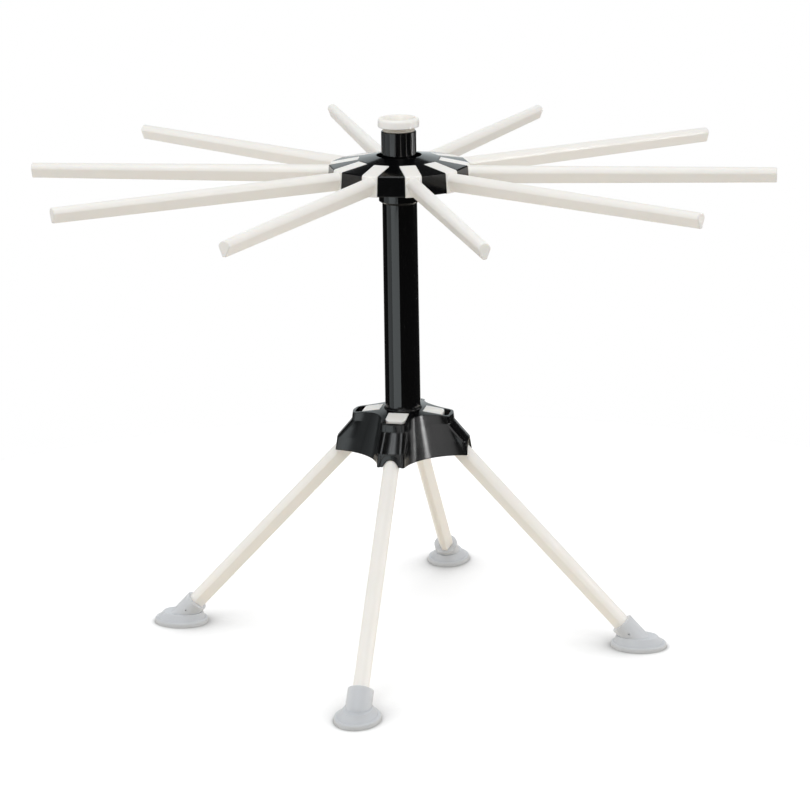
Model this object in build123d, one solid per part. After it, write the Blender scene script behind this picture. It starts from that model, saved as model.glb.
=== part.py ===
from build123d import *
import math
import os

# Folding pasta drying rack.
# Ten arms radiate from a hub that turns on a column, and four splayed legs carry the column.
# Lengths are millimetres and angles are degrees.
# The origin is on the ground under the column, +Z is up, and leg 1 points along +X.
# Each arm and each leg is drawn once along +X and turned to its place about the column.

# How many of each there are
ARM_COUNT = 10
LEG_COUNT = 4
HUB_SCREW_COUNT = 5

# Where the arms stand against the legs when the rack is set up
ARM_TURN_DEG = 4.9

# Clearances and cutting
OVERRUN = 2.0
RUNNING_GAP = 0.05
SIDE_GAP = 0.25
STOP_GAP = 0.1
SEAT_GAP = 0.1
SWEEP_GAP = 0.25

# Column: a tube with a round collar that the hub stands on
COLUMN_TOP_Z = 354.7
COLUMN_NECK_RADIUS = 11.75
COLUMN_FOOT_RADIUS = 12.15
COLUMN_BORE_RADIUS = 9.6
COLLAR_RADIUS = 14.0
COLLAR_HEIGHT = 11.3
COLLAR_TAPER_HEIGHT = 1.7
COLUMN_MOUTH_EDGE = 0.4

# Hub: a ten-sided cap with a sloping top, closed from below by a slotted plate
HUB_DROP = 35.6
HUB_APOTHEM = 46.0
HUB_SIDE_HEIGHT = 13.5
HUB_DRAFT_DEG = 4
HUB_TOP_SLOPE_DEG = 10.6
HUB_HOLE_RADIUS = 15.2
HUB_WALL = 2.2
HUB_EDGE = 0.5
HUB_EDGE_DEG = 45
HUB_PLATE_THICKNESS = 2.4
HUB_BUSH_HEIGHT = 7.0
HUB_BUSH_RADIUS = 14.9

# Arm: a knuckle block that fills its slot in the hub, and a bar that hangs the pasta
ARM_KNUCKLE_WIDTH = 11.0
ARM_KNUCKLE_INNER_X = 27.0
ARM_KNUCKLE_DROP = 0.4
ARM_KNUCKLE_EDGE = 1.6
ARM_KNUCKLE_CORNER = 1.2
ARM_PIVOT_X = 31.7
ARM_PIVOT_DEPTH = 5.0
ARM_HEEL_RADIUS = 7.2
ARM_PIN_RADIUS = 2.4
ARM_PIN_LENGTH = 2.0
ARM_ROOT_RISE = 6.4
ARM_TIP_RISE = 7.4
ARM_TIP_RADIUS = 250.0
ARM_ROOT_HEIGHT = 12.0
ARM_ROOT_WIDTH = 9.2
ARM_TIP_HEIGHT = 10.0
ARM_TIP_WIDTH = 7.4
ARM_FLARE_LENGTH = 1.2
ARM_FLARE = 0.2
ARM_TIP_EDGE = 0.5
BAR_KEEL_SHARE = 0.34
BAR_KEEL_EDGE_SHARE = 0.12

# Screws that hold the two plates
SCREW_HEAD_RADIUS = 2.7
SCREW_HEAD_HEIGHT = 1.5
SCREW_SHANK_RADIUS = 1.25
SCREW_LENGTH = 8.0
SCREW_SLOT_WIDTH = 0.8
SCREW_SLOT_DEPTH = 0.7
HUB_SCREW_CIRCLE_RADIUS = 38.0

# Base cover: a skirt with four lobes, one over each leg
BASE_BOTTOM_Z = 134.2
BASE_TOP_HEIGHT = 29.8
BASE_TOP_SLOPE_DEG = 8.5
BASE_WALL = 2.0
BASE_ROOF = 2.3
BASE_COLLAR_RADIUS = 13.0
BASE_COLLAR_HEIGHT = 1.2
BASE_COLLAR_EDGE = 0.5
BASE_CORE_RADIUS = 18.0
BASE_RIB_WALL = 1.0

# The skirt's outline at its rim, shoulder, hip and hem, from the top down.
# Reach is where a lobe ends, and waist is the distance to the hollow between two lobes.
RIM_REACH = 34.2
RIM_HALF_WIDTH = 9.2
RIM_CORNER = 5.2
RIM_WAIST = 20.9
SHOULDER_HEIGHT = 21.4
SHOULDER_REACH = 35.3
SHOULDER_HALF_WIDTH = 9.3
SHOULDER_CORNER = 4.2
SHOULDER_WAIST = 23.8
HIP_HEIGHT = 9.3
HIP_REACH = 45.6
HIP_HALF_WIDTH = 9.5
HIP_CORNER = 3.4
HIP_WAIST = 27.3
HEM_REACH = 46.7
HEM_HALF_WIDTH = 9.5
HEM_CORNER = 2.0
HEM_WAIST = 29.9
LOBE_END_CROWN = 0.8
INNER_CORNER_LOW_SHARE = 0.25

# The arch that each leg comes out of: an opening along the leg, in a shallow arched recess
ARCH_GAP = 0.5
ARCH_RIM_RADIUS = 7.4
ARCH_RIM_RISE = 8.8
ARCH_RIM_DEPTH = 0.9

# Leg: a knuckle under a window in the base, and a bar down to the foot
LEG_AXIS_DEG = 47.1
LEG_BAR_OFFSET = 2.0
LEG_KNUCKLE_WIDTH = 13.8
LEG_KNUCKLE_INNER_X = 15.0
LEG_KNUCKLE_OUTER_X = 27.8
LEG_KNUCKLE_EDGE = 1.4
LEG_KNUCKLE_CORNER = 2.8
LEG_KNUCKLE_RUN = 5.0
LEG_PIVOT_X = 20.5
LEG_PIVOT_Z = 154.0
LEG_HEEL_RADIUS = 6.5
LEG_PIN_RADIUS = 3.0
LEG_PIN_LENGTH = 2.0
LEG_ROOT_DEPTH = 12.2
LEG_ROOT_WIDTH = 10.8
LEG_TIP_DEPTH = 11.6
LEG_TIP_WIDTH = 10.6
WINDOW_OUTER_X = 32.4
WINDOW_CORNER = 2.8

# Base plate: closes the base cover from below and holds the leg pins up
BASE_PLATE_THICKNESS = 2.6
BASE_PLATE_RISE = 2.6
BASE_PLATE_HALF_WIDTH = 25.5
BASE_PLATE_CORE_HALF_WIDTH = 13.5
BASE_PLUG_HEIGHT = 4.0
BASE_SCREW_CIRCLE_RADIUS = 19.2
BASE_BOSS_RADIUS = 3.0

# Foot: a soft oval pad with a socket for the leg
FOOT_SET_BACK = 3.1
FOOT_LENGTH = 38.0
FOOT_WIDTH = 30.5
FOOT_EDGE_HEIGHT = 3.4
FOOT_EDGE = 1.5
FOOT_DOME_HEIGHT = 7.4
FOOT_DOME_LENGTH = 28.5
FOOT_DOME_WIDTH = 19.0
FOOT_DOME_SET_BACK = 1.3
FOOT_DOME_INSET = 1.6
SOCKET_WIDTH = 17.2
SOCKET_DEPTH = 15.8
SOCKET_MOUTH_Z = 15.9
SOCKET_FLOOR_Z = 5.2
FOOT_HOLLOW_DEPTH = 1.2
FOOT_HOLLOW_MARGIN = 3.6
FOOT_VENT_RADIUS = 0.6
FOOT_VENT_Z = 11.0
FOOT_VENT_SET_BACK = 8.8
OVAL_END_SHARE = 0.82

# Lifting wand: its ring handle closes the column, and its rod is stored inside
WAND_STEP_RADIUS = 10.65
WAND_STEP_HEIGHT = 1.0
WAND_NECK_RADIUS = 10.3
WAND_NECK_HEIGHT = 1.7
WAND_RING_RADIUS = 13.8
WAND_RING_HEIGHT = 6.1
WAND_RING_EDGE = 2.0
WAND_RING_LOW_EDGE = 0.6
WAND_LIP_RADIUS = 11.4
WAND_LIP_EDGE = 0.6
WAND_THROAT_RADIUS = 8.4
WAND_THROAT_FALL = 3.6
WAND_CUP_DEPTH = 10.0
WAND_CUP_FLOOR = 2.0
WAND_SPIGOT_RADIUS = 9.35
WAND_SPIGOT_LENGTH = 8.0
WAND_ROD_RADIUS = 4.5
WAND_ROD_GAP = 12.0
WAND_ROD_EDGE = 1.2

# Places worked out from the sizes above
HUB_BOTTOM_Z = COLUMN_TOP_Z - HUB_DROP
HUB_TOP_SLOPE = math.tan(math.radians(HUB_TOP_SLOPE_DEG))
HUB_RIM_Z = HUB_BOTTOM_Z + HUB_SIDE_HEIGHT
HUB_DRAFT = math.tan(math.radians(HUB_DRAFT_DEG))
ARM_STEP_DEG = 360 / ARM_COUNT
LEG_STEP_DEG = 360 / LEG_COUNT
ARM_SLOT_WIDTH = ARM_KNUCKLE_WIDTH + 2 * SIDE_GAP
LEG_SLOT_WIDTH = LEG_KNUCKLE_WIDTH + 2 * SIDE_GAP
BASE_TOP_Z = BASE_BOTTOM_Z + BASE_TOP_HEIGHT
BASE_PLATE_Z = BASE_BOTTOM_Z + BASE_PLATE_RISE
BASE_PLATE_TOP_Z = BASE_PLATE_Z + BASE_PLATE_THICKNESS
BASE_PLUG_TOP_Z = BASE_PLATE_TOP_Z + BASE_PLUG_HEIGHT
LEG_SEAT_WIDTH = LEG_KNUCKLE_WIDTH + 2 * LEG_PIN_LENGTH + 2 * SEAT_GAP
LEG_DIRECTION = Vector(math.cos(math.radians(LEG_AXIS_DEG)), 0, -math.sin(math.radians(LEG_AXIS_DEG)))
LEG_GROUND_RADIUS = LEG_PIVOT_X + LEG_BAR_OFFSET + LEG_PIVOT_Z / math.tan(math.radians(LEG_AXIS_DEG))
FOOT_CENTRE_X = LEG_GROUND_RADIUS - FOOT_SET_BACK
FOOT_DOME_CENTRE_X = FOOT_CENTRE_X - FOOT_DOME_SET_BACK


def hub_top_z(x):
    """Height of the hub's sloping top at a distance from the column's axis."""
    return HUB_RIM_Z + (HUB_APOTHEM - x) * HUB_TOP_SLOPE


def base_top_z(x):
    """Height of the base cover's sloping top at a distance from the column's axis."""
    return BASE_TOP_Z - (x - BASE_COLLAR_RADIUS) * math.tan(math.radians(BASE_TOP_SLOPE_DEG))


ARM_PIVOT_Z = hub_top_z(ARM_PIVOT_X) - ARM_PIVOT_DEPTH
HUB_CORNER_X = HUB_APOTHEM / math.cos(math.radians(ARM_STEP_DEG / 2))
ARM_KNUCKLE_OUTER_X = HUB_CORNER_X - ARM_KNUCKLE_WIDTH / 2 * math.tan(math.radians(ARM_STEP_DEG / 2))


def around(shape, count, first_deg=0):
    """Copies of a shape, evenly turned about the column's axis."""
    return [Rot(0, 0, first_deg + step * 360 / count) * shape for step in range(count)]


def side_plate(profile, width):
    """A profile drawn in X and Z, made into a plate that is centred on Y."""
    return extrude(profile, amount=width / 2, both=True)


def upright(face):
    """Stands a face that is drawn flat in X and Y up into X and Z."""
    return Plane.XZ * face


def cross_pin(x, z, radius, width):
    """A round pin across the X and Z plane, centred on Y."""
    return Pos(x, 0, z) * Rot(90, 0, 0) * Cylinder(radius, width)


def block(x_low, x_high, y_low, y_high, z_low, z_high):
    """A box between its low and high corners."""
    size = (x_high - x_low, y_high - y_low, z_high - z_low)
    centre = ((x_high + x_low) / 2, (y_high + y_low) / 2, (z_high + z_low) / 2)
    return Pos(*centre) * Box(*size)


def rounded_strip(x_low, x_high, width, corner, low_z, height):
    """A strip along X seen from above, with its inner corners rounded, raised to a height."""
    outline = Pos((x_low + x_high) / 2, 0) * Rectangle(x_high - x_low, width)
    outline = fillet(outline.vertices().group_by(Axis.X)[0], corner)
    return Pos(0, 0, low_z) * extrude(outline, height)


def bar_section(plane, width, depth):
    """The bars' section: a half-round back, sides that draw in, and a narrow keel below."""
    shoulder = depth / 2 - width / 2
    keel = width * BAR_KEEL_SHARE / 2
    back = ThreePointArc((-width / 2, shoulder), (0, depth / 2), (width / 2, shoulder))
    sides = Polyline((width / 2, shoulder), (keel, -depth / 2), (-keel, -depth / 2), (-width / 2, shoulder))
    face = make_face([back, *sides.edges()])
    face = fillet(face.vertices().group_by(Axis.Y)[0], width * BAR_KEEL_EDGE_SHARE)
    return plane * face


def column():
    """The tube, its collar under the hub and the tapered seat below the collar."""
    collar_z = HUB_BOTTOM_Z - COLLAR_HEIGHT
    outline = Polyline(
        (COLUMN_BORE_RADIUS, BASE_PLATE_TOP_Z),
        (COLUMN_FOOT_RADIUS, BASE_PLATE_TOP_Z),
        (COLUMN_FOOT_RADIUS, BASE_TOP_Z),
        (COLUMN_NECK_RADIUS, collar_z - COLLAR_TAPER_HEIGHT),
        (COLLAR_RADIUS, collar_z),
        (COLLAR_RADIUS, HUB_BOTTOM_Z),
        (COLUMN_NECK_RADIUS, HUB_BOTTOM_Z),
        (COLUMN_NECK_RADIUS, COLUMN_TOP_Z - COLUMN_MOUTH_EDGE),
        (COLUMN_NECK_RADIUS - COLUMN_MOUTH_EDGE, COLUMN_TOP_Z),
        (COLUMN_BORE_RADIUS, COLUMN_TOP_Z),
        close=True,
    )
    return revolve(upright(make_face(outline)), Axis.Z)


def arm_profile():
    """The knuckle's side view: a flat stop below, a round heel and a top in line with the hub."""
    low_z = HUB_BOTTOM_Z - ARM_KNUCKLE_DROP
    outline = Polyline(
        (ARM_KNUCKLE_INNER_X, low_z),
        (ARM_KNUCKLE_OUTER_X + HUB_SIDE_HEIGHT * HUB_DRAFT, low_z),
        (ARM_KNUCKLE_OUTER_X, hub_top_z(ARM_KNUCKLE_OUTER_X)),
        (ARM_KNUCKLE_INNER_X, hub_top_z(ARM_KNUCKLE_INNER_X)),
        close=True,
    )
    face = make_face(outline)
    outer_top = face.vertices().group_by(Axis.Y)[-2]
    face = fillet(outer_top, ARM_KNUCKLE_EDGE)
    heel_box = Pos(ARM_PIVOT_X - ARM_HEEL_RADIUS, ARM_PIVOT_Z + ARM_HEEL_RADIUS) * Rectangle(
        2 * ARM_HEEL_RADIUS, 2 * ARM_HEEL_RADIUS
    )
    return face - (heel_box - Pos(ARM_PIVOT_X, ARM_PIVOT_Z) * Circle(ARM_HEEL_RADIUS))


def arm():
    """One arm with its knuckle, pins and tapered bar."""
    knuckle = side_plate(upright(arm_profile()), ARM_KNUCKLE_WIDTH)
    knuckle &= rounded_strip(
        ARM_KNUCKLE_INNER_X,
        2 * HUB_APOTHEM,
        ARM_KNUCKLE_WIDTH,
        ARM_KNUCKLE_CORNER,
        HUB_BOTTOM_Z - OVERRUN,
        2 * HUB_DROP,
    )
    pins = cross_pin(ARM_PIVOT_X, ARM_PIVOT_Z, ARM_PIN_RADIUS, ARM_KNUCKLE_WIDTH + 2 * ARM_PIN_LENGTH)

    def section(x, rise, width, height):
        place = Plane((x, 0, HUB_BOTTOM_Z + rise), x_dir=(0, 1, 0), z_dir=(1, 0, 0))
        return bar_section(place, width, height)

    flare_x = ARM_KNUCKLE_OUTER_X + ARM_FLARE_LENGTH
    root_width = ARM_ROOT_WIDTH + 2 * ARM_FLARE
    root_height = ARM_ROOT_HEIGHT + 2 * ARM_FLARE
    flare = loft(
        [
            section(ARM_KNUCKLE_OUTER_X, ARM_ROOT_RISE, root_width, root_height),
            section(flare_x, ARM_ROOT_RISE, ARM_ROOT_WIDTH, ARM_ROOT_HEIGHT),
        ],
        ruled=True,
    )
    bar = loft(
        [
            section(flare_x, ARM_ROOT_RISE, ARM_ROOT_WIDTH, ARM_ROOT_HEIGHT),
            section(ARM_TIP_RADIUS, ARM_TIP_RISE, ARM_TIP_WIDTH, ARM_TIP_HEIGHT),
        ],
        ruled=True,
    )
    bar = chamfer(bar.faces().sort_by(Axis.X)[-1].edges(), ARM_TIP_EDGE)
    return knuckle + pins + flare + bar


def hub_body():
    """The ten-sided form under the sloping top: drafted sides, with the upper corners bevelled."""
    crown_z = hub_top_z(0)
    side_height = HUB_SIDE_HEIGHT - HUB_EDGE
    low_sides = RegularPolygon(HUB_APOTHEM + side_height * HUB_DRAFT, ARM_COUNT, major_radius=False)
    high_sides = RegularPolygon(HUB_APOTHEM, ARM_COUNT, major_radius=False)
    bevel_z = HUB_BOTTOM_Z + side_height
    prism = Pos(0, 0, HUB_BOTTOM_Z) * extrude(low_sides, side_height, taper=HUB_DRAFT_DEG)
    prism += Pos(0, 0, bevel_z) * extrude(high_sides, HUB_APOTHEM / 2, taper=HUB_EDGE_DEG)
    top = Polyline(
        (0, HUB_BOTTOM_Z),
        (2 * HUB_APOTHEM, HUB_BOTTOM_Z),
        (2 * HUB_APOTHEM, hub_top_z(2 * HUB_APOTHEM)),
        (0, crown_z),
        close=True,
    )
    return prism & revolve(upright(make_face(top)), Axis.Z)


def arm_slot():
    """The space that one knuckle turns in: an open slot and a round socket for the heel."""
    slot = rounded_strip(
        ARM_KNUCKLE_INNER_X - STOP_GAP,
        2 * HUB_APOTHEM,
        ARM_SLOT_WIDTH,
        ARM_KNUCKLE_CORNER,
        HUB_BOTTOM_Z - OVERRUN,
        2 * HUB_DROP,
    )
    socket = cross_pin(ARM_PIVOT_X, ARM_PIVOT_Z, ARM_HEEL_RADIUS + SWEEP_GAP, ARM_SLOT_WIDTH)
    return slot + socket


def pin_seat(x, z, radius, width, low_z):
    """A round seat for a pin, open downwards so that the pin goes in from below."""
    channel = block(x - radius, x + radius, -width / 2, width / 2, low_z, z)
    return channel + cross_pin(x, z, radius, width)


def pin_posts(x, z, radius, inner_width, outer_width, low_z):
    """A pair of posts that stand in the open seats and hold the pin up."""
    pair = []
    for side in (-1, 1):
        near = side * (inner_width / 2 + SEAT_GAP)
        far = side * (outer_width / 2 - SEAT_GAP)
        pair.append(
            block(x - radius + SEAT_GAP, x + radius - SEAT_GAP, min(near, far), max(near, far), low_z, z)
        )
    return pair[0] + pair[1] - cross_pin(x, z, radius, outer_width + OVERRUN)


def hub_cover():
    """The cap: ten wedges joined round the central hole, with slots between them."""
    plate_top_z = HUB_BOTTOM_Z + HUB_PLATE_THICKNESS
    cap = hub_body()
    cap -= Pos(0, 0, HUB_BOTTOM_Z) * Cylinder(HUB_HOLE_RADIUS, 4 * HUB_SIDE_HEIGHT)
    recess = RegularPolygon(HUB_APOTHEM - HUB_WALL, ARM_COUNT, major_radius=False)
    cap -= Pos(0, 0, HUB_BOTTOM_Z) * extrude(recess, HUB_PLATE_THICKNESS)
    seat_width = ARM_KNUCKLE_WIDTH + 2 * ARM_PIN_LENGTH + 2 * SEAT_GAP
    seat = pin_seat(ARM_PIVOT_X, ARM_PIVOT_Z, ARM_PIN_RADIUS + RUNNING_GAP, seat_width, HUB_BOTTOM_Z)
    cap -= around(arm_slot(), ARM_COUNT)
    cap -= around(seat, ARM_COUNT)
    pilot_height = SCREW_LENGTH - SCREW_HEAD_HEIGHT
    pilot = Pos(HUB_SCREW_CIRCLE_RADIUS, 0, plate_top_z + pilot_height / 2) * Cylinder(
        SCREW_SHANK_RADIUS + RUNNING_GAP, pilot_height
    )
    cap -= around(pilot, HUB_SCREW_COUNT, ARM_STEP_DEG / 2)
    return Rot(0, 0, ARM_TURN_DEG) * cap


def hub_retainer():
    """The slotted plate under the cap, with the bush that runs on the neck and the posts under the pins."""
    outline = RegularPolygon(HUB_APOTHEM - HUB_WALL - SEAT_GAP, ARM_COUNT, major_radius=False)
    plate = Pos(0, 0, HUB_BOTTOM_Z) * extrude(outline, HUB_PLATE_THICKNESS)
    slot = block(
        ARM_KNUCKLE_INNER_X - STOP_GAP,
        2 * HUB_APOTHEM,
        -ARM_SLOT_WIDTH / 2,
        ARM_SLOT_WIDTH / 2,
        HUB_BOTTOM_Z - OVERRUN,
        HUB_BOTTOM_Z + HUB_PLATE_THICKNESS + OVERRUN,
    )
    plate -= around(slot, ARM_COUNT)
    plate += Pos(0, 0, HUB_BOTTOM_Z + HUB_BUSH_HEIGHT / 2) * Cylinder(HUB_BUSH_RADIUS, HUB_BUSH_HEIGHT)
    seat_width = ARM_KNUCKLE_WIDTH + 2 * ARM_PIN_LENGTH + 2 * SEAT_GAP
    posts = pin_posts(
        ARM_PIVOT_X, ARM_PIVOT_Z, ARM_PIN_RADIUS + RUNNING_GAP, ARM_SLOT_WIDTH, seat_width, HUB_BOTTOM_Z
    )
    plate += around(posts, ARM_COUNT)
    plate -= Pos(0, 0, HUB_BOTTOM_Z) * Cylinder(COLUMN_NECK_RADIUS + RUNNING_GAP, 4 * HUB_BUSH_HEIGHT)
    hole = Pos(HUB_SCREW_CIRCLE_RADIUS, 0, HUB_BOTTOM_Z) * Cylinder(
        SCREW_SHANK_RADIUS + RUNNING_GAP, 4 * HUB_PLATE_THICKNESS
    )
    sink = Pos(HUB_SCREW_CIRCLE_RADIUS, 0, HUB_BOTTOM_Z) * Cylinder(
        SCREW_HEAD_RADIUS + SEAT_GAP, 2 * SCREW_HEAD_HEIGHT
    )
    plate -= around(hole + sink, HUB_SCREW_COUNT, ARM_STEP_DEG / 2)
    return Rot(0, 0, ARM_TURN_DEG) * plate


def screw():
    """A screw driven upwards, with the underside of its head at the origin."""
    head = Pos(0, 0, -SCREW_HEAD_HEIGHT / 2) * Cylinder(SCREW_HEAD_RADIUS, SCREW_HEAD_HEIGHT)
    shank_length = SCREW_LENGTH - SCREW_HEAD_HEIGHT
    shank = Pos(0, 0, shank_length / 2) * Cylinder(SCREW_SHANK_RADIUS, shank_length)
    slots = Box(2 * SCREW_SHANK_RADIUS, SCREW_SLOT_WIDTH, 2 * SCREW_SLOT_DEPTH)
    slots += Rot(0, 0, 90) * slots
    return head + shank - Pos(0, 0, -SCREW_HEAD_HEIGHT) * slots


def hub_screws():
    """The screws under the hub."""
    seat_z = HUB_BOTTOM_Z + SCREW_HEAD_HEIGHT
    first = Pos(HUB_SCREW_CIRCLE_RADIUS, 0, seat_z) * screw()
    return Compound(around(first, HUB_SCREW_COUNT, ARM_TURN_DEG + ARM_STEP_DEG / 2))


def lobed_outline(z, reach, half_width, corner, waist):
    """A four-lobed outline: hollow arcs between lobes with crowned ends and rounded corners."""
    arc_share = math.sqrt(1 / 2)
    turn_in = corner * (1 - arc_share)
    end_x = reach - LOBE_END_CROWN
    end_y = half_width - corner
    flank_x = reach - corner
    mid_x = reach - turn_in - LOBE_END_CROWN / 2
    mid_y = half_width - turn_in
    lobe = [
        ThreePointArc((end_x, -end_y), (reach, 0), (end_x, end_y)),
        ThreePointArc((end_x, end_y), (mid_x, mid_y), (flank_x, half_width)),
        ThreePointArc((flank_x, half_width), (waist * arc_share, waist * arc_share), (half_width, flank_x)),
        ThreePointArc((half_width, flank_x), (mid_y, mid_x), (end_y, end_x)),
    ]
    edges = []
    for step in range(LEG_COUNT):
        edges += [Rot(0, 0, step * LEG_STEP_DEG) * edge for edge in lobe]
    return Pos(0, 0, z) * make_face(edges)


def skirt(inset, top_z, low_z):
    """The lobed form from its hem up, with its sides moved in, cut off level at two heights."""
    shoulder_z = BASE_BOTTOM_Z + SHOULDER_HEIGHT
    hip_z = BASE_BOTTOM_Z + HIP_HEIGHT
    levels = [
        (BASE_BOTTOM_Z, HEM_REACH, HEM_HALF_WIDTH, HEM_CORNER, HEM_WAIST),
        (hip_z, HIP_REACH, HIP_HALF_WIDTH, HIP_CORNER, HIP_WAIST),
        (shoulder_z, SHOULDER_REACH, SHOULDER_HALF_WIDTH, SHOULDER_CORNER, SHOULDER_WAIST),
        (BASE_TOP_Z + OVERRUN, RIM_REACH, RIM_HALF_WIDTH, RIM_CORNER, RIM_WAIST),
    ]
    outlines = []
    for z, reach, half_width, corner, waist in levels:
        tight_corner = max(corner - inset, HEM_CORNER * INNER_CORNER_LOW_SHARE)
        outlines.append(lobed_outline(z, reach - inset, half_width - inset, tight_corner, waist - inset))
    form = loft(outlines, ruled=True)
    reach = 2 * HEM_REACH
    return form & block(-reach, reach, -reach, reach, low_z, top_z)


def base_top_cutter():
    """Everything above the base cover's sloping top."""
    far = 2 * HEM_REACH
    outline = Polyline(
        (BASE_COLLAR_RADIUS, base_top_z(BASE_COLLAR_RADIUS)),
        (far, base_top_z(far)),
        (far, BASE_TOP_Z + far),
        (0, BASE_TOP_Z + far),
        (0, BASE_TOP_Z + BASE_COLLAR_HEIGHT),
        (BASE_COLLAR_RADIUS - BASE_COLLAR_EDGE, BASE_TOP_Z + BASE_COLLAR_HEIGHT),
        (BASE_COLLAR_RADIUS, BASE_TOP_Z + BASE_COLLAR_HEIGHT - BASE_COLLAR_EDGE),
        close=True,
    )
    return revolve(upright(make_face(outline)), Axis.Z)


def arch_opening():
    """The round opening along one leg, through a lobe's end."""
    centre = Pos(0, LEG_ROOT_DEPTH / 2 - LEG_ROOT_WIDTH / 2)
    length = 2 * (LEG_PIVOT_Z - BASE_BOTTOM_Z)
    return extrude(leg_plane(LEG_PIVOT_Z) * centre * Circle(LEG_ROOT_WIDTH / 2 + ARCH_GAP), length)


def arch_recess():
    """A shallow arched recess round the opening, cut into a lobe's end only."""
    centre_z = BASE_BOTTOM_Z + ARCH_RIM_RISE - ARCH_RIM_RADIUS
    length = HEM_REACH + OVERRUN - SHOULDER_REACH
    side = Plane((SHOULDER_REACH, 0, centre_z), x_dir=(0, 1, 0), z_dir=(1, 0, 0))
    form = extrude(side * Circle(ARCH_RIM_RADIUS), length)
    form += block(
        SHOULDER_REACH,
        SHOULDER_REACH + length,
        -ARCH_RIM_RADIUS,
        ARCH_RIM_RADIUS,
        centre_z - 2 * ARCH_RIM_RADIUS,
        centre_z,
    )
    return form - skirt(ARCH_RIM_DEPTH, BASE_TOP_Z, BASE_BOTTOM_Z - OVERRUN)


def leg_window():
    """The opening in the base's top that shows one leg's knuckle, and the channel under it."""
    inner_x = LEG_KNUCKLE_INNER_X - STOP_GAP
    half = LEG_SLOT_WIDTH / 2
    outline = Pos((inner_x + WINDOW_OUTER_X) / 2, 0) * Rectangle(WINDOW_OUTER_X - inner_x, LEG_SLOT_WIDTH)
    outer_corners = outline.vertices().group_by(Axis.X)[-1]
    outline = fillet(outer_corners, WINDOW_CORNER)
    window = Pos(0, 0, LEG_PIVOT_Z) * extrude(outline, BASE_TOP_HEIGHT)
    heel = cross_pin(LEG_PIVOT_X, LEG_PIVOT_Z, LEG_HEEL_RADIUS + SWEEP_GAP, LEG_SLOT_WIDTH)
    channel = block(
        LEG_PIVOT_X - LEG_HEEL_RADIUS - SWEEP_GAP,
        SHOULDER_REACH - BASE_WALL,
        -half,
        half,
        BASE_BOTTOM_Z - OVERRUN,
        LEG_PIVOT_Z,
    )
    return window + heel + channel


def base_cover():
    """The lobed cover: skirt, sloping top with windows, core, ribs for the pins and bosses."""
    roof_low_z = base_top_z(RIM_REACH) - BASE_ROOF
    outer = skirt(0, BASE_TOP_Z + OVERRUN, BASE_BOTTOM_Z)
    body = outer - base_top_cutter()
    hollow = skirt(BASE_WALL, roof_low_z, BASE_BOTTOM_Z - OVERRUN)
    cover = body - hollow

    rib_half = LEG_SEAT_WIDTH / 2 + BASE_RIB_WALL
    rib_low_z = LEG_PIVOT_Z - 2 * LEG_PIN_RADIUS
    rib_high_x = LEG_KNUCKLE_OUTER_X
    frame_low_z = BASE_PLATE_TOP_Z
    core_width = 2 * (LEG_KNUCKLE_INNER_X - STOP_GAP)
    core_outline = Circle(BASE_CORE_RADIUS) & Rectangle(core_width, core_width)
    core = Pos(0, 0, frame_low_z) * extrude(core_outline, BASE_TOP_Z - frame_low_z)
    ribs = around(block(0, rib_high_x, -rib_half, rib_half, rib_low_z, roof_low_z + BASE_ROOF), LEG_COUNT)
    boss_height = roof_low_z - frame_low_z
    boss = Pos(BASE_SCREW_CIRCLE_RADIUS, 0, frame_low_z) * extrude(Circle(BASE_BOSS_RADIUS), boss_height)
    bosses = around(boss, LEG_COUNT, LEG_STEP_DEG / 2)
    inner = core
    for piece in ribs + bosses:
        inner += piece
    cover += inner & body

    cover -= around(leg_window(), LEG_COUNT)
    seat = pin_seat(LEG_PIVOT_X, LEG_PIVOT_Z, LEG_PIN_RADIUS + RUNNING_GAP, LEG_SEAT_WIDTH, BASE_PLATE_TOP_Z)
    cover -= around(seat, LEG_COUNT)
    cover -= around(arch_opening(), LEG_COUNT)
    cover -= around(arch_recess(), LEG_COUNT)
    bore_height = 4 * BASE_TOP_HEIGHT
    cover -= Pos(0, 0, BASE_BOTTOM_Z) * Cylinder(COLUMN_FOOT_RADIUS + RUNNING_GAP, bore_height)
    pilot_height = SCREW_LENGTH - SCREW_HEAD_HEIGHT
    pilot = Pos(BASE_SCREW_CIRCLE_RADIUS, 0, BASE_PLATE_TOP_Z + pilot_height / 2) * Cylinder(
        SCREW_SHANK_RADIUS + RUNNING_GAP, pilot_height
    )
    cover -= around(pilot, LEG_COUNT, LEG_STEP_DEG / 2)
    return cover


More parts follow.
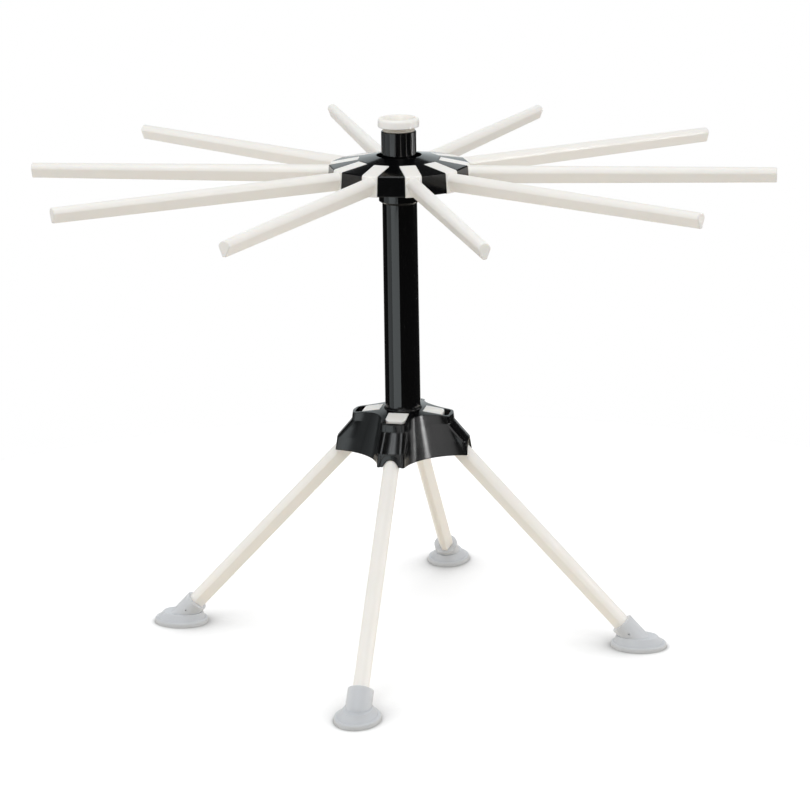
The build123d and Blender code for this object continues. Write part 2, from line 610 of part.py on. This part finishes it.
def base_retainer():
    """The plate that closes the base from below, with a plug in the column and posts under the leg pins."""
    wide = skirt(BASE_WALL + 2 * SWEEP_GAP, BASE_PLATE_TOP_Z, BASE_PLATE_Z)
    half = BASE_PLATE_HALF_WIDTH
    plate = wide & block(-half, half, -half, half, BASE_PLATE_Z, BASE_PLATE_TOP_Z)
    slot = block(
        BASE_PLATE_CORE_HALF_WIDTH,
        2 * half,
        -LEG_SLOT_WIDTH / 2,
        LEG_SLOT_WIDTH / 2,
        BASE_PLATE_Z - OVERRUN,
        BASE_PLATE_TOP_Z + OVERRUN,
    )
    plate -= around(slot, LEG_COUNT)
    plug = extrude(Circle(COLUMN_BORE_RADIUS - SEAT_GAP), BASE_PLUG_TOP_Z - BASE_PLATE_Z)
    plate += Pos(0, 0, BASE_PLATE_Z) * plug
    posts = pin_posts(
        LEG_PIVOT_X, LEG_PIVOT_Z, LEG_PIN_RADIUS + RUNNING_GAP, LEG_SLOT_WIDTH, LEG_SEAT_WIDTH, BASE_PLATE_Z
    )
    plate += around(posts, LEG_COUNT)
    hole = Pos(BASE_SCREW_CIRCLE_RADIUS, 0, BASE_PLATE_Z) * Cylinder(
        SCREW_SHANK_RADIUS + RUNNING_GAP, 4 * BASE_PLATE_THICKNESS
    )
    sink = Pos(BASE_SCREW_CIRCLE_RADIUS, 0, BASE_PLATE_Z) * Cylinder(
        SCREW_HEAD_RADIUS + SEAT_GAP, 2 * SCREW_HEAD_HEIGHT
    )
    return plate - around(hole + sink, LEG_COUNT, LEG_STEP_DEG / 2)


def base_screws():
    """The screws under the base."""
    seat_z = BASE_PLATE_Z + SCREW_HEAD_HEIGHT
    first = Pos(BASE_SCREW_CIRCLE_RADIUS, 0, seat_z) * screw()
    return Compound(around(first, LEG_COUNT, LEG_STEP_DEG / 2))


def leg_plane(z):
    """The plane square to the leg's axis, at the height where the axis passes z."""
    x = LEG_GROUND_RADIUS - z / math.tan(math.radians(LEG_AXIS_DEG))
    return Plane((x, 0, z), x_dir=(0, 1, 0), z_dir=LEG_DIRECTION)


def leg_bar(low_z, high_z, margin):
    """The leg's bar between two heights of its axis, with a margin on its faces."""
    span = LEG_PIVOT_Z - SOCKET_FLOOR_Z
    sections = []
    for z in (high_z, low_z):
        share = (LEG_PIVOT_Z - z) / span
        width = LEG_ROOT_WIDTH + (LEG_TIP_WIDTH - LEG_ROOT_WIDTH) * share + 2 * margin
        depth = LEG_ROOT_DEPTH + (LEG_TIP_DEPTH - LEG_ROOT_DEPTH) * share + 2 * margin
        sections.append(bar_section(leg_plane(z), width, depth))
    return loft(sections, ruled=True)


def leg():
    """One leg: a knuckle whose top shows in the window, its pins and the bar down to the foot."""
    low_z = LEG_PIVOT_Z
    outline = Polyline(
        (LEG_KNUCKLE_INNER_X, low_z),
        (LEG_KNUCKLE_OUTER_X, low_z),
        (LEG_KNUCKLE_OUTER_X, base_top_z(LEG_KNUCKLE_OUTER_X)),
        (LEG_KNUCKLE_INNER_X, base_top_z(LEG_KNUCKLE_INNER_X)),
        close=True,
    )
    head = make_face(outline)
    outer_top = head.vertices().sort_by(lambda v: v.X + v.Y)[-1]
    head = fillet(outer_top, LEG_KNUCKLE_EDGE)
    heel = Pos(LEG_PIVOT_X, LEG_PIVOT_Z) * Circle(LEG_HEEL_RADIUS)
    flank_x = LEG_KNUCKLE_OUTER_X + LEG_KNUCKLE_RUN
    along = Polyline(
        (LEG_PIVOT_X, LEG_PIVOT_Z - LEG_HEEL_RADIUS * math.cos(math.radians(LEG_AXIS_DEG))),
        (flank_x, LEG_PIVOT_Z - (flank_x - LEG_PIVOT_X) * math.tan(math.radians(LEG_AXIS_DEG))),
        (LEG_KNUCKLE_OUTER_X, LEG_PIVOT_Z),
        (LEG_PIVOT_X, LEG_PIVOT_Z),
        close=True,
    )
    knuckle = side_plate(upright(heel + make_face(along)), LEG_KNUCKLE_WIDTH)
    strip = rounded_strip(
        -LEG_KNUCKLE_OUTER_X,
        -LEG_KNUCKLE_INNER_X,
        LEG_KNUCKLE_WIDTH,
        LEG_KNUCKLE_CORNER,
        low_z,
        BASE_TOP_HEIGHT,
    )
    knuckle += side_plate(upright(head), LEG_KNUCKLE_WIDTH) & Rot(0, 0, 180) * strip
    pins = cross_pin(LEG_PIVOT_X, LEG_PIVOT_Z, LEG_PIN_RADIUS, LEG_KNUCKLE_WIDTH + 2 * LEG_PIN_LENGTH)
    return knuckle + pins + leg_bar(SOCKET_FLOOR_Z, LEG_PIVOT_Z, 0)


def oval(length, width):
    """An oval of four arcs: two tighter ends joined by two flatter sides."""
    half_length = length / 2
    half_width = width / 2
    end_radius = half_width * OVAL_END_SHARE
    end_centre = half_length - end_radius
    side_radius = (end_centre**2 + half_width**2 - end_radius**2) / (2 * (half_width - end_radius))
    side_centre = side_radius - half_width
    lean = math.atan2(side_centre, end_centre)
    join_x = end_centre + end_radius * math.cos(lean)
    join_y = end_radius * math.sin(lean)
    end = ThreePointArc((join_x, -join_y), (half_length, 0), (join_x, join_y))
    side = ThreePointArc((join_x, join_y), (0, half_width), (-join_x, join_y))
    return make_face([end, side, Rot(0, 0, 180) * end, Rot(0, 0, 180) * side])


def level_oval(length, width, centre_x, z):
    """An oval that lies level under the leg's end."""
    return Pos(centre_x, 0, z) * oval(length, width)


def foot():
    """One soft foot: an oval pad, a dome and a vented socket along the leg, with a hollow underneath."""
    pad = extrude(level_oval(FOOT_LENGTH, FOOT_WIDTH, FOOT_CENTRE_X, 0), FOOT_EDGE_HEIGHT)
    pad = fillet(pad.edges().group_by(Axis.Z)[-1], FOOT_EDGE)
    dome = loft(
        [
            level_oval(
                FOOT_LENGTH - 2 * FOOT_DOME_INSET,
                FOOT_WIDTH - 2 * FOOT_DOME_INSET,
                FOOT_CENTRE_X,
                FOOT_EDGE_HEIGHT - FOOT_EDGE / 2,
            ),
            level_oval(FOOT_DOME_LENGTH, FOOT_DOME_WIDTH, FOOT_DOME_CENTRE_X, FOOT_DOME_HEIGHT),
        ],
        ruled=True,
    )
    mouth = leg_plane(SOCKET_MOUTH_Z)
    tube = extrude(mouth * oval(SOCKET_WIDTH, SOCKET_DEPTH), FOOT_LENGTH)
    far = 2 * LEG_GROUND_RADIUS
    tube &= block(0, far, -far, far, FOOT_EDGE_HEIGHT / 2, far)
    reach = extrude(level_oval(FOOT_LENGTH - FOOT_DOME_INSET, FOOT_WIDTH, FOOT_CENTRE_X, 0), far)
    body = pad + dome + (tube & reach)
    body -= leg_bar(SOCKET_FLOOR_Z, SOCKET_MOUTH_Z + FOOT_LENGTH, SEAT_GAP)
    hollow_length = FOOT_LENGTH - 2 * FOOT_HOLLOW_MARGIN
    hollow_width = FOOT_WIDTH - 2 * FOOT_HOLLOW_MARGIN
    body -= extrude(level_oval(hollow_length, hollow_width, FOOT_CENTRE_X, 0), FOOT_HOLLOW_DEPTH)
    vent_x = LEG_GROUND_RADIUS - FOOT_VENT_SET_BACK
    return body - cross_pin(vent_x, FOOT_VENT_Z, FOOT_VENT_RADIUS, FOOT_WIDTH)


def lifting_wand():
    """The wand: a ring handle with a cup in it, a step that sits on the column, a spigot and a rod."""
    step_top_z = COLUMN_TOP_Z + WAND_STEP_HEIGHT
    ring_low_z = step_top_z + WAND_NECK_HEIGHT
    ring_top_z = ring_low_z + WAND_RING_HEIGHT
    outside = Polyline(
        (0, COLUMN_TOP_Z - WAND_SPIGOT_LENGTH),
        (WAND_SPIGOT_RADIUS, COLUMN_TOP_Z - WAND_SPIGOT_LENGTH),
        (WAND_SPIGOT_RADIUS, COLUMN_TOP_Z),
        (WAND_STEP_RADIUS, COLUMN_TOP_Z),
        (WAND_STEP_RADIUS, step_top_z),
        (WAND_NECK_RADIUS, step_top_z),
        (WAND_NECK_RADIUS, ring_low_z),
        (WAND_RING_RADIUS, ring_low_z),
        (WAND_RING_RADIUS, ring_top_z),
        (0, ring_top_z),
        close=True,
    )
    face = make_face(outside)
    for corner, edge in ((0, WAND_RING_LOW_EDGE), (-1, WAND_RING_EDGE)):
        ring_side = face.vertices().filter_by(lambda v: v.X > WAND_STEP_RADIUS + WAND_LIP_EDGE)
        face = fillet(ring_side.sort_by(Axis.Y)[corner], edge)
    cup = Polyline(
        (0, ring_top_z - WAND_CUP_DEPTH),
        (WAND_THROAT_RADIUS, ring_top_z - WAND_CUP_DEPTH),
        (WAND_THROAT_RADIUS, ring_top_z - WAND_THROAT_FALL),
        (WAND_LIP_RADIUS - WAND_LIP_EDGE, ring_top_z - WAND_LIP_EDGE),
        (WAND_LIP_RADIUS, ring_top_z),
        (0, ring_top_z),
        close=True,
    )
    face -= make_face(cup)
    handle = revolve(upright(face), Axis.Z)
    rod_top_z = ring_top_z - WAND_CUP_DEPTH - WAND_CUP_FLOOR
    rod_low_z = BASE_PLUG_TOP_Z + WAND_ROD_GAP
    rod = Pos(0, 0, rod_low_z) * extrude(Circle(WAND_ROD_RADIUS), rod_top_z - rod_low_z)
    rod = fillet(rod.edges().group_by(Axis.Z)[0], WAND_ROD_EDGE)
    return handle + rod


def write(shape, name):
    """Writes one node under its name."""
    shape.label = name
    export_step(shape, f"parts/{name}.step")
    print(name, len(shape.solids()), "solid, volume", round(shape.volume))


os.makedirs("parts", exist_ok=True)
write(column(), "column")
write(lifting_wand(), "lifting_wand")
write(hub_cover(), "hub_cover")
write(hub_retainer(), "hub_retainer")
write(hub_screws(), "hub_screws")
write(base_cover(), "base_cover")
write(base_retainer(), "base_retainer")
write(base_screws(), "base_screws")
for number, piece in enumerate(around(arm(), ARM_COUNT, ARM_TURN_DEG), start=1):
    write(piece, f"arm_{number:02d}")
for number, piece in enumerate(around(leg(), LEG_COUNT), start=1):
    write(piece, f"leg_{number}")
for number, piece in enumerate(around(foot(), LEG_COUNT), start=1):
    write(piece, f"foot_{number}")
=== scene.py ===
# %% [markdown]
# # A folding pasta drying rack
#
# Ten white arms radiate from a black hub on a black column, and four white legs with soft grey
# feet carry it. The shapes come from the CAD model, which is loaded as a frame that never moves.
# What is left for Blender is the finish: the plastics, the soft feet, the light and the camera.

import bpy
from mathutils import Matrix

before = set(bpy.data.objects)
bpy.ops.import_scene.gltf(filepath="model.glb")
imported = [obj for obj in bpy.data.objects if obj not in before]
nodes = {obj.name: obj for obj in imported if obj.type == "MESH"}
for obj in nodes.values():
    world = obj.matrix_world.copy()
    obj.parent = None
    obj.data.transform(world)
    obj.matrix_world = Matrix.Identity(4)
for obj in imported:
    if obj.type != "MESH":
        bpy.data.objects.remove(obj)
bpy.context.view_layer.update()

# %% [markdown]
# ## Names for what Blender offers
#
# The script works in metres, as the frame does, and writes small sizes as so many millimetres.
# A few modules are enough: `bpy` for the scene, `bmesh` for building meshes and `mathutils` for
# turning things.

# %% Modules and the unit of small sizes
import math

import bmesh
import bpy
from mathutils import Matrix, Vector

MM = 0.001
scene = bpy.context.scene
print("one millimetre is", MM, "scene units")

# %% [markdown]
# ## Small helpers for materials
#
# Every finish here starts from one Principled shader, which covers plastic, rubber and metal
# alike. The nodes could be added and set a line at a time, but helpers keep each finish short
# enough to read. They set plain values straight on the sockets, and hand back the node tree, so
# that a later cell can add texture to it.

# %% New nodes and new finishes
def set_sockets(node, values):
    """Sets plain values on a node's sockets. A _ in a name stands for a space."""
    for socket, value in values.items():
        node.inputs[socket.replace("_", " ")].default_value = value


def add_node(tree, kind, **values):
    """Adds a shader node of a kind, with plain values on its sockets."""
    node = tree.nodes.new("ShaderNode" + kind)
    set_sockets(node, values)
    return node


def new_finish(name, colour, roughness, **values):
    """Makes a material, and hands it back with its node tree and its Principled shader."""
    finish = bpy.data.materials.new(name)
    finish.use_nodes = True
    tree = finish.node_tree
    shader = tree.nodes["Principled BSDF"]
    set_sockets(shader, {"Base_Color": (*colour, 1), "Roughness": roughness, **values})
    print("finish", name)
    return finish, tree, shader


# %% [markdown]
# ## Moulded texture
#
# Moulded plastic is never perfectly smooth. It has a very fine grain from the mould, and slow
# waves where the plastic shrank as it cooled. A picture of such a surface would have to be
# unwrapped onto every piece. Noise in object space has the right size on all of them without
# that, so both the grain and the waves are noise.

# %% Noise over a piece
def mould_noise(tree, scale, detail=2.0):
    """Noise in object space, with its scale in waves per metre."""
    place = add_node(tree, "TexCoord")
    noise = add_node(tree, "TexNoise", Scale=scale, Detail=detail)
    tree.links.new(place.outputs["Object"], noise.inputs["Vector"])
    return noise.outputs["Fac"]


# %% [markdown]
# The waves and the grain are hundredths of a millimetre deep or less. Real dents would take
# millions of faces, so a bump turns the shading instead. A moulded edge is also a little round,
# and catches the light in a thin line. Cutting real rounds would change the CAD mesh, but the
# Bevel node rounds only the shading.

# %% Bumps and soft edges
def soft_edge(tree, radius):
    """A normal that rounds the sharp edges over a radius in metres."""
    bevel = add_node(tree, "Bevel", Radius=radius)
    bevel.samples = 6
    return bevel.outputs["Normal"]


def add_bump(tree, shader, layers, normal=None):
    """Lays bumps, as (height, depth in metres) pairs, over a normal and over each other."""
    for height, depth in layers:
        bump = add_node(tree, "Bump", Strength=1.0, Distance=depth)
        tree.links.new(height, bump.inputs["Height"])
        if normal is not None:
            tree.links.new(normal, bump.inputs["Normal"])
        normal = bump.outputs["Normal"]
    tree.links.new(normal, shader.inputs["Normal"])


# %% [markdown]
# The same noise lets the gloss and the colour wander, as they do where a mould is worn. Noise
# mostly keeps between 0.3 and 0.7, so that span is stretched to the one that is wanted.

# %% Values and colours that wander
NOISE_SPAN = (0.3, 0.7)


def stretched(tree, value, span, onto=(0.0, 1.0)):
    """A value whose span is moved and stretched onto another one."""
    reach = add_node(
        tree, "MapRange", From_Min=span[0], From_Max=span[1], To_Min=onto[0], To_Max=onto[1]
    )
    tree.links.new(value, reach.inputs["Value"])
    return reach.outputs["Result"]


def colour_between(tree, factor, first, second):
    """A mix that goes from the first colour to the second. Either is plain, or a node's output."""
    mix = tree.nodes.new("ShaderNodeMix")
    mix.data_type = "RGBA"
    tree.links.new(factor, mix.inputs["Factor"])
    for socket, colour in (("A", first), ("B", second)):
        if isinstance(colour, bpy.types.NodeSocket):
            tree.links.new(colour, mix.inputs[socket])
        else:
            mix.inputs[socket].default_value = (*colour, 1)
    return mix.outputs["Result"]


def vary(tree, noise, socket, low, high):
    """Lets the value of a socket wander between low and high."""
    tree.links.new(stretched(tree, noise, NOISE_SPAN, (low, high)), socket)


# %% [markdown]
# ## White arms and legs
#
# The arms, the legs and the wand's ring are moulded in one warm white plastic. A plain white
# paint would turn grey in the shade, where the real plastic stays warm, because it lets a little
# light in. So a little subsurface scattering is added, with red travelling furthest.

# %% White plastic
LIGHT_WHITE = (0.88, 0.86, 0.825)
WARM_WHITE = (0.85, 0.83, 0.79)
white_plastic, tree, shader = new_finish(
    "white_plastic",
    (0.87, 0.84, 0.79),
    0.34,
    Subsurface_Weight=0.15,
    Subsurface_Scale=4 * MM,
    Subsurface_Radius=(1.0, 0.75, 0.5),
)
grain = mould_noise(tree, 2600, 3)
waves = mould_noise(tree, 60)
layers = [(waves, 0.06 * MM), (grain, 0.006 * MM)]
add_bump(tree, shader, layers, soft_edge(tree, 0.5 * MM))
vary(tree, waves, shader.inputs["Roughness"], low=0.30, high=0.40)
white = colour_between(tree, waves, LIGHT_WHITE, WARM_WHITE)
tree.links.new(white, shader.inputs["Base Color"])

# %% [markdown]
# The lifting wand is the same plastic, but it looks darker and warmer deep in its cup and under
# its step, where light has bounced between cream walls. More bounces would cost time at every
# sample, so that shade is painted into its colour instead. The ambient occlusion node is cheaper:
# it tells how much of the sky each spot sees within 15 mm, and that mixes the painted warm shade
# in.

# %% White plastic of the wand, with painted shade in its cup
CUP_DEPTH = 15 * MM
CUP_SPAN = (0.40, 0.95)
PAINTED_CUP_SHADE = (0.66, 0.59, 0.48)
cup_white_painted_shade = white_plastic.copy()
cup_white_painted_shade.name = "cup_white_painted_shade"
tree = cup_white_painted_shade.node_tree
shader = tree.nodes["Principled BSDF"]
white = shader.inputs["Base Color"].links[0].from_socket
sky = add_node(tree, "AmbientOcclusion", Distance=CUP_DEPTH)
openness = stretched(tree, sky.outputs["AO"], CUP_SPAN)
# Painted shade: where little sky is seen, the colour turns to the darker warm cream.
shaded = colour_between(tree, openness, PAINTED_CUP_SHADE, white)
tree.links.new(shaded, shader.inputs["Base Color"])
print("finish", cup_white_painted_shade.name)

# %% [markdown]
# ## Glossy black column
#
# The column is the shiniest piece: a polished black tube whose reflections run the whole way
# down. A perfect mirror would look drawn with a ruler, so it keeps the slow waves of a moulded
# tube, and no grain.

# %% Polished black
polished_black, tree, shader = new_finish("polished_black", (0.002, 0.002, 0.0022), 0.07)
waves = mould_noise(tree, 35)
add_bump(tree, shader, [(waves, 0.01 * MM)])
vary(tree, waves, shader.inputs["Roughness"], low=0.06, high=0.09)

# %% [markdown]
# ## Satin black hub and base
#
# The hub and the base cover are the same black, but their moulds are finely etched, so that the
# reflections spread. The base cover's etching is a little coarser than the hub's. One function
# makes both, so that they differ in nothing but their roughness.

# %% Satin black and the black of the base cover
def etched_black(name, low, high):
    """Moulded black plastic whose etching wanders between two roughnesses."""
    finish, tree, shader = new_finish(name, (0.002, 0.0021, 0.0024), high)
    grain = mould_noise(tree, 3200)
    waves = mould_noise(tree, 50)
    layers = [(waves, 0.02 * MM), (grain, 0.003 * MM)]
    add_bump(tree, shader, layers, soft_edge(tree, 0.7 * MM))
    vary(tree, waves, shader.inputs["Roughness"], low, high)
    return finish


satin_black = etched_black("satin_black", 0.09, 0.12)
base_black = etched_black("base_black", 0.15, 0.20)

# %% [markdown]
# ## Soft feet
#
# The feet are a milky rubber that one can half see through, so the leg's end shows faintly in
# the socket. Rays bent through real volume would show it too, but with speckles and much more
# time. A plain alpha does it with some scattering inside and a matt surface.

# %% Milky rubber
milky_rubber, tree, shader = new_finish(
    "milky_rubber",
    (0.70, 0.72, 0.75),
    0.33,
    Alpha=0.72,
    Subsurface_Weight=0.25,
    Subsurface_Scale=3 * MM,
    Subsurface_Radius=(1.0, 1.0, 1.0),
    IOR=1.42,
)
grain = mould_noise(tree, 1800, 3)
cloud = mould_noise(tree, 220)
add_bump(tree, shader, [(cloud, 0.05 * MM), (grain, 0.015 * MM)])
vary(tree, cloud, shader.inputs["Roughness"], low=0.28, high=0.40)

# %% [markdown]
# ## Screws
#
# The screws under the hub and the base are zinc-plated steel. They are tiny and mostly in the
# dark, so one noise does for both the bump and the gloss.

# %% Zinc-plated steel
zinc_steel, tree, shader = new_finish("zinc_steel", (0.62, 0.62, 0.60), 0.32, Metallic=1.0)
plating = mould_noise(tree, 900, 4)
add_bump(tree, shader, [(plating, 0.02 * MM)])
vary(tree, plating, shader.inputs["Roughness"], low=0.26, high=0.40)

# %% [markdown]
# ## Finishes on the CAD pieces
#
# A CAD piece keeps its mesh, and only gets the finish in its material slots. The names in the
# frame say what each piece is, so most of them find their finish by how the name begins or ends.

# %% Which finish each piece gets
finish_of = {"column": polished_black, "lifting_wand": cup_white_painted_shade, "base_cover": base_black}
for name in nodes:
    if name.startswith(("arm", "leg")):
        finish_of[name] = white_plastic
    elif name.startswith("foot"):
        finish_of[name] = milky_rubber
    elif name.endswith("screws"):
        finish_of[name] = zinc_steel
    else:
        finish_of.setdefault(name, satin_black)

for name, finish in finish_of.items():
    mesh = nodes[name].data
    if not mesh.materials:
        mesh.materials.append(None)
    for index in range(len(mesh.materials)):
        mesh.materials[index] = finish
print("finished", len(finish_of), "pieces")

# %% [markdown]
# ## The camera
#
# The photograph was taken from almost two metres away and a little above the arms, with a long
# lens. The camera could be aimed at a point, but that leaves out the slight roll of the picture.
# So its heading, tilt and roll are three turns, one after the other.

# %% Camera
CAMERA_PLACE = (0.3756, -1.8378, 0.6926)
HEADING = 11.509
TILT_DOWN = 15.703
ROLL = -0.912
camera = bpy.data.objects.new("camera", bpy.data.cameras.new("camera"))
camera.data.lens = 126.91
camera.data.sensor_width = 36
camera.data.clip_end = 50
heading = Matrix.Rotation(math.radians(HEADING), 4, "Z")
tilt = Matrix.Rotation(math.radians(90 - TILT_DOWN), 4, "X")
roll = Matrix.Rotation(math.radians(ROLL), 4, "Z")
camera.matrix_world = Matrix.Translation(CAMERA_PLACE) @ heading @ tilt @ roll
scene.collection.objects.link(camera)
scene.camera = camera
print("camera at", [round(x, 3) for x in camera.location])

# %% [markdown]
# ## The floor
#
# The rack stands on a plain white table that throws a warm light up under the arms and legs.
# A floor that is simply bright would either look grey or bleach the legs. So the Light Path node
# parts what the camera sees from what the rack gets: the rack gets the light of a cream table,
# and the camera sees a neutral grey with a glow of its own, which together make pure white. The
# glow fades where something stands close by. That paints a soft shadow round each foot, laid over
# the real shadow that falls on the grey.

# %% Finish of the table
CREAM_BOUNCE = (0.84, 0.78, 0.68)
SEEN_GREY = (0.5, 0.5, 0.5)
GLOW = 0.64
SHADOW_REACH = 0.12
SHADOW_SPAN = (0.62, 1.0)
table_white, tree, shader = new_finish(
    "table_white", CREAM_BOUNCE, 0.9, Emission_Color=(1, 1, 1, 1)
)
sight = add_node(tree, "LightPath").outputs["Is Camera Ray"]
tone = colour_between(tree, sight, CREAM_BOUNCE, SEEN_GREY)
tree.links.new(tone, shader.inputs["Base Color"])
nearby = add_node(tree, "AmbientOcclusion", Distance=SHADOW_REACH)
glow = tree.nodes.new("ShaderNodeMath")
glow.operation = "MULTIPLY"
tree.links.new(sight, glow.inputs[0])
# Painted shadow: the glow dims where the ambient occlusion finds something close by.
glow_with_painted_shadow = stretched(tree, nearby.outputs["AO"], SHADOW_SPAN, (0.0, GLOW))
tree.links.new(glow_with_painted_shadow, glow.inputs[1])
tree.links.new(glow.outputs["Value"], shader.inputs["Emission Strength"])

# %% [markdown]
# The table is a round disc, about twice as wide as the rack. Where it ends, the white world goes
# on, so its edge doesn't show. It lies a hair below the feet, so that no two faces share a plane.

# %% Table
TABLE_RADIUS = 0.55
TABLE_GAP = 0.2 * MM
table = bpy.data.meshes.new("table")
form = bmesh.new()
bmesh.ops.create_circle(form, cap_ends=True, segments=96, radius=TABLE_RADIUS)
form.to_mesh(table)
form.free()
table.materials.append(table_white)
table_top = bpy.data.objects.new("table", table)
table_top.location = (0, 0, -TABLE_GAP)
scene.collection.objects.link(table_top)
print("table", round(table_top.dimensions.x, 2), "m across")

# %% [markdown]
# ## Soft studio light
#
# White plastic wants light from all round, so large panels above, behind and at both sides do
# most of the work. Black gloss only shows what it mirrors, so it gets cards of its own, and each
# set can be changed without the other. The world fills the shadows. It is white where the camera
# looks straight at it, and nearly black in the gloss.

# %% World
def studio_world(seen, fill, through, mirrored):
    """A plain world with a level each for the camera, and for matt, clear and glossy surfaces."""
    world = bpy.data.worlds.new("studio")
    world.use_nodes = True
    scene.world = world
    tree = world.node_tree
    sight = add_node(tree, "LightPath")
    level = None
    for ray, amount in (
        ("Is Transmission Ray", through),
        ("Is Diffuse Ray", fill),
        ("Is Camera Ray", seen),
    ):
        mix = add_node(tree, "Mix", A=mirrored, B=amount)
        tree.links.new(sight.outputs[ray], mix.inputs["Factor"])
        if level is not None:
            tree.links.new(level, mix.inputs["A"])
        level = mix.outputs["Result"]
    background = tree.nodes["Background"]
    background.inputs["Color"].default_value = (1, 1, 1, 1)
    tree.links.new(level, background.inputs["Strength"])
    print("world", world.name, "fills at", fill)


studio_world(seen=1.0, fill=0.49, through=0.8, mirrored=0.03)

# %% [markdown]
# Each light is placed by its turn round the rack, counted from the camera, and all of them face
# a height on the column's axis. That is easier to picture than x, y and three angles.

# %% Places round the rack
TOWARDS_CAMERA = -78.45


def beside(turn, distance, height):
    """A place at a turn to the right of the camera's direction, seen from the column."""
    angle = math.radians(turn + TOWARDS_CAMERA)
    return (distance * math.cos(angle), distance * math.sin(angle), height)


def facing_axis(place, height):
    """The matrix of a thing at a place whose -Z side faces a height on the column's axis."""
    aim = Vector((0, 0, height)) - Vector(place)
    return Matrix.Translation(place) @ aim.to_track_quat("-Z", "Y").to_matrix().to_4x4()


# %% [markdown]
# The panels are area lamps. Blender gives a lamp its power in watts, so a larger lamp of the same
# power is dimmer. Here the brightness of its face is what counts, and the watts follow from it.

# %% Panels
PLAIN = (1, 1, 1)
PALE_SKY = (0.93, 0.97, 1.0)


def panel(name, place, aim, size, level, colour=PLAIN, mirrored=False):
    """A soft rectangular lamp with a level for its face. Gloss shows it only if it's mirrored."""
    lamp = bpy.data.lights.new(name, "AREA")
    lamp.shape = "RECTANGLE"
    lamp.size, lamp.size_y = size
    lamp.energy = level * math.pi * size[0] * size[1]
    lamp.color = colour
    holder = bpy.data.objects.new(name, lamp)
    holder.matrix_world = facing_axis(place, aim)
    holder.visible_camera = False
    holder.visible_glossy = mirrored
    scene.collection.objects.link(holder)
    print("lamp", name, round(lamp.energy, 2), "W")


panel("overhead", beside(-28, 0.75, 1.5), 0.2, (0.38, 0.8), 4.3, PALE_SKY, mirrored=True)
panel("zenith", (0, 0, 2.0), 0, (0.8, 0.8), 1.8, mirrored=True)
panel("top_fill", beside(20, 1.2, 1.6), 0.2, (1.2, 1.2), 1.9)
panel("back_fill", beside(175, 1.6, 0.8), 0.2, (1.4, 0.8), 2.7)
panel("left_fill", beside(-90, 1.5, 0.45), 0.3, (1.6, 1.0), 1.5)
panel("right_fill", beside(95, 1.5, 0.45), 0.3, (1.6, 1.0), 1.4)

# %% [markdown]
# What the gloss mirrors could be lamps too. But the renderer would aim rays at them from the white
# arms as well, find nothing, and leave speckles. So these are cards: flat meshes that glow, are
# seen by glossy rays alone, and are never aimed at.

# %% Glowing cards
def card_mesh(name, size):
    """A flat rectangle round the origin."""
    form = bmesh.new()
    bmesh.ops.create_grid(form, x_segments=1, y_segments=1, size=0.5)
    bmesh.ops.scale(form, vec=(*size, 1), verts=form.verts)
    mesh = bpy.data.meshes.new(name)
    form.to_mesh(mesh)
    form.free()
    return mesh


def card_glow(name, level, colour):
    """A material that only glows, and that the renderer never aims rays at."""
    glow = bpy.data.materials.new(name)
    glow.use_nodes = True
    glow.cycles.emission_sampling = "NONE"
    tree = glow.node_tree
    tree.nodes.clear()
    emission = add_node(tree, "Emission", Color=(*colour, 1), Strength=level)
    output = add_node(tree, "OutputMaterial")
    tree.links.new(emission.outputs["Emission"], output.inputs["Surface"])
    return glow


def card(name, place, aim, size, level, colour):
    """A glowing card with a level for its face, which only glossy surfaces see."""
    holder = bpy.data.objects.new(name, card_mesh(name, size))
    holder.data.materials.append(card_glow(name, level, colour))
    holder.matrix_world = facing_axis(place, aim)
    for ray in ("camera", "diffuse", "transmission", "volume_scatter", "shadow"):
        setattr(holder, "visible_" + ray, False)
    scene.collection.objects.link(holder)


# %% [markdown]
# The column shows the cards as upright streaks, so each streak of the real one has its card: a
# bright narrow one to the right, wide dim ones to the left and in front. The camera looks down at
# the upright column, which so mirrors what hangs low, even lower than the table and beyond its
# edge. The flanks of the base lean back, and mirror what hangs higher.

# %% The cards of this studio
COOL = (0.90, 0.98, 1.0)
CARDS = (
    # name, turn, distance, height, height faced, (width, height), level, colour
    ("key", 66, 1.5, 0.60, 0.2, (0.24, 0.5), 15, PLAIN),
    ("left_front", -36, 1.25, -0.11, -0.11, (1.2, 0.30), 1.9, COOL),
    ("left_neck", -44, 1.25, 0.09, 0.09, (1.0, 0.10), 1.9, COOL),
    ("left_side", -80, 1.25, -0.06, -0.06, (0.76, 0.40), 0.9, COOL),
    ("left_high", -60, 1.5, 0.62, 0.3, (1.5, 0.5), 0.5, COOL),
    ("left_low", -109, 1.5, 0.24, 0.24, (1.1, 0.40), 0.4, COOL),
    ("left_mid", -74, 1.5, 0.24, 0.24, (0.72, 0.30), 0.4, COOL),
    ("front", 12, 2.6, 1.15, 0.2, (5.6, 1.4), 1.4, PLAIN),
    ("front_low", 16, 2.6, 0.22, 0.22, (2.0, 0.52), 1.2, PLAIN),
    ("right_low", 95, 1.5, 0.48, 0.3, (1.2, 0.4), 0.9, PLAIN),
    ("right_base", 110, 1.5, 0.17, 0.17, (0.62, 0.30), 1.2, PLAIN),
    ("neck_strip", 98, 1.2, 0.20, 0.20, (0.04, 0.2), 16, PLAIN),
    ("back_low", 180, 1.6, 0.55, 0.55, (1.4, 0.95), 0.78, COOL),
    ("back_below", 180, 1.6, -0.12, -0.12, (1.0, 0.36), 0.9, PLAIN),
)
for name, turn, distance, height, aim, size, level, colour in CARDS:
    card(name, beside(turn, distance, height), aim, size, level, colour)
print("hung", len(CARDS), "cards")

# %% [markdown]
#
# The Standard view keeps colours as they are written.

# %% Closing
scene.view_settings.view_transform = "Standard"
